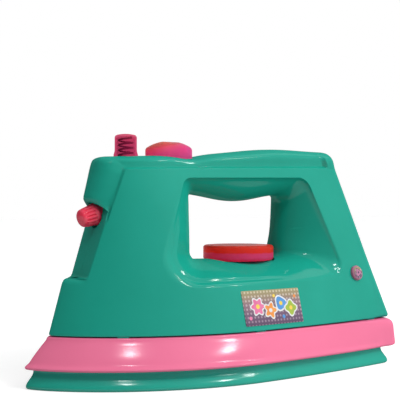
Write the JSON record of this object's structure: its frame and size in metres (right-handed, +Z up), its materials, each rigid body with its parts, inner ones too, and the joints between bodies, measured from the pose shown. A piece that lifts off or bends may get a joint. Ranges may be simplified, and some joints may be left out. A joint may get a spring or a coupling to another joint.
{
  "type": "toy iron",
  "caption": "Toy steam iron with a hollow two-half body, open handle, flared skirt and soleplate, sprung steam and spray buttons, a turning dial and a spray nozzle.",
  "frame": {"origin": "centre of the footprint, on the surface that the soleplate rests on", "axes": "+X from the nose to the heel, -Y towards the labelled side, +Z up"},
  "size_m": [0.2, 0.0946, 0.1188],
  "materials": {
    "shell_green": "moulded, soft gloss",
    "sole_green": "moulded, glossy",
    "skirt_pink": "moulded, glossy",
    "button_pink": "translucent, bright pink with orange edges",
    "dial_red": "translucent, glossy",
    "nozzle_red": "translucent, ribbed",
    "cap_pink": "moulded",
    "label_print": "printed film, dotted",
    "cap_print": "printed film, shaded",
    "spring_steel": "drawn wire",
    "screw_steel": "plated"
  },
  "bodies": {
    "housing": {"left_shell": "shell_green", "right_shell": "shell_green", "skirt": "skirt_pink", "soleplate": "sole_green", "side_cap": "cap_pink", "side_cap_sticker": "cap_print", "label_sticker": "label_print", "shell_screws": "screw_steel", "sole_screws": "screw_steel", "steam_spring": "spring_steel", "spray_spring": "spring_steel"},
    "steam_key": {"steam_button": "button_pink"},
    "spray_key": {"spray_button": "button_pink"},
    "dial": {"temperature_dial": "dial_red", "dial_clip": "screw_steel"},
    "nozzle": {"spray_nozzle": "nozzle_red"}
  },
  "joints": [
    {"name": "steam_press", "type": "slide", "parent": "housing", "child": "steam_key", "axis": [0, 0, -1], "range_m": [0, 0.004], "stiffness_N_per_m": 120, "springref_m": -0.004, "deforming": ["steam_spring"]},
    {"name": "spray_press", "type": "slide", "parent": "housing", "child": "spray_key", "axis": [0, 0, -1], "range_m": [0, 0.003], "stiffness_N_per_m": 150, "springref_m": -0.004, "deforming": ["spray_spring"]},
    {"name": "dial_turn", "type": "hinge", "parent": "housing", "child": "dial", "pos_m": [0.018, 0, 0.0594], "axis": [0, 0, 1], "continuous": true},
    {"name": "nozzle_turn", "type": "hinge", "parent": "housing", "child": "nozzle", "pos_m": [-0.0643, 0, 0.08], "axis": [-0.9563, 0, -0.2924], "continuous": true}
  ]
}
